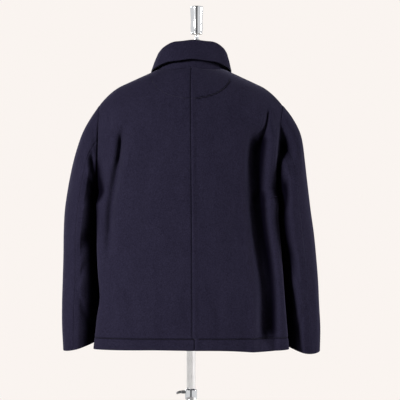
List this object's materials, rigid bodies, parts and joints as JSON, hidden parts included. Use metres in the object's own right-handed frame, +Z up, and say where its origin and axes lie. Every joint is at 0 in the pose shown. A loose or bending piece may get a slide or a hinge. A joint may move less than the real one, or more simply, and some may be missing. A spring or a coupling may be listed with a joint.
{
  "type": "wool coat on dress form stand",
  "caption": "Short melton wool coat with a turn-down collar and two-piece sleeves, worn by a limbless dress form on an adjustable pole stand with a round base",
  "frame": {"origin": "on the floor, on the pole's axis, at the middle of the round base's underside", "axes": "+Z up along the pole; the coat's front faces -Y; +X is the wearer's left"},
  "size_m": [0.661, 0.36, 1.5969],
  "materials": {
    "wool": "matte",
    "horn": "satin",
    "linen": "matte",
    "chrome": "polished",
    "enamel": "satin"
  },
  "bodies": {
    "stand": {"stand_base": "enamel", "stand_tube": "chrome", "stand_clamp": "chrome"},
    "lever": {"clamp_lever": "chrome"},
    "pole": {"stand_pole": "chrome"},
    "form": {"form_trunk": "linen", "form_finial": "chrome", "coat_back_left": "wool", "coat_back_right": "wool", "coat_front_left": "wool", "coat_front_right": "wool", "sleeve_left_top": "wool", "sleeve_left_under": "wool", "sleeve_right_top": "wool", "sleeve_right_under": "wool", "collar_top": "wool", "collar_under": "wool", "button_1": "horn", "button_2": "horn", "button_3": "horn", "button_4": "horn", "button_5": "horn"}
  },
  "joints": [
    {"name": "pole_height", "type": "slide", "parent": "stand", "child": "pole", "axis": [0, 0, 1], "range_m": [-0.1, 0.15]},
    {"name": "form_turn", "type": "hinge", "parent": "pole", "child": "form", "pos_m": [0, 0, 0.79], "axis": [0, 0, 1], "continuous": true},
    {"name": "lever_release", "type": "hinge", "parent": "stand", "child": "lever", "pos_m": [0.0205, 0, 0.6125], "axis": [0, -1, 0], "range_deg": [0, 80]}
  ]
}
